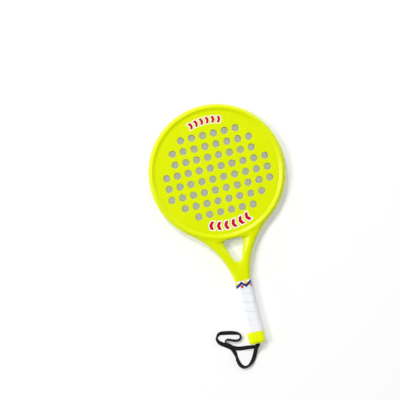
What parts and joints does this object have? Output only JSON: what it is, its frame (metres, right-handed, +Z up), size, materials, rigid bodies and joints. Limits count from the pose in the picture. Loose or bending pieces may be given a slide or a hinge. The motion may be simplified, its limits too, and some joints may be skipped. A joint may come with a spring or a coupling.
{
  "type": "beach game paddle",
  "caption": "Round-headed perforated beach game paddle with a triangular throat opening, taped grip, butt cap and woven wrist strap, lying on its back.",
  "frame": {"origin": "middle of the paddle's length and width, on the surface that it lies on; the strap isn't counted", "axes": "+Y from the butt to the head, +Z up out of the front face, +X to the right seen from the front"},
  "size_m": [0.234, 0.4539, 0.022],
  "materials": {
    "frame_plastic": "moulded, satin gloss",
    "face_plastic": "moulded, satin gloss, printed",
    "grip_tape": "matte synthetic grip tape",
    "collar_film": "printed film tape",
    "end_band_film": "smooth film tape",
    "cap_plastic": "moulded, satin gloss",
    "strap_webbing": "woven polyester tape"
  },
  "bodies": {
    "paddle": {"front_frame": "frame_plastic", "rear_frame": "frame_plastic", "front_face": "face_plastic", "rear_face": "face_plastic", "grip_tape": "grip_tape", "collar_band": "collar_film", "grip_end_band": "end_band_film", "butt_cap": "cap_plastic", "strap_knot": "strap_webbing"},
    "strap": {"wrist_strap": "strap_webbing"}
  },
  "joints": [
    {"name": "strap_swing", "type": "hinge", "parent": "paddle", "child": "strap", "pos_m": [0, -0.20922, 0.011], "axis": [-1, 0, 0], "range_deg": [0, 90]}
  ]
}
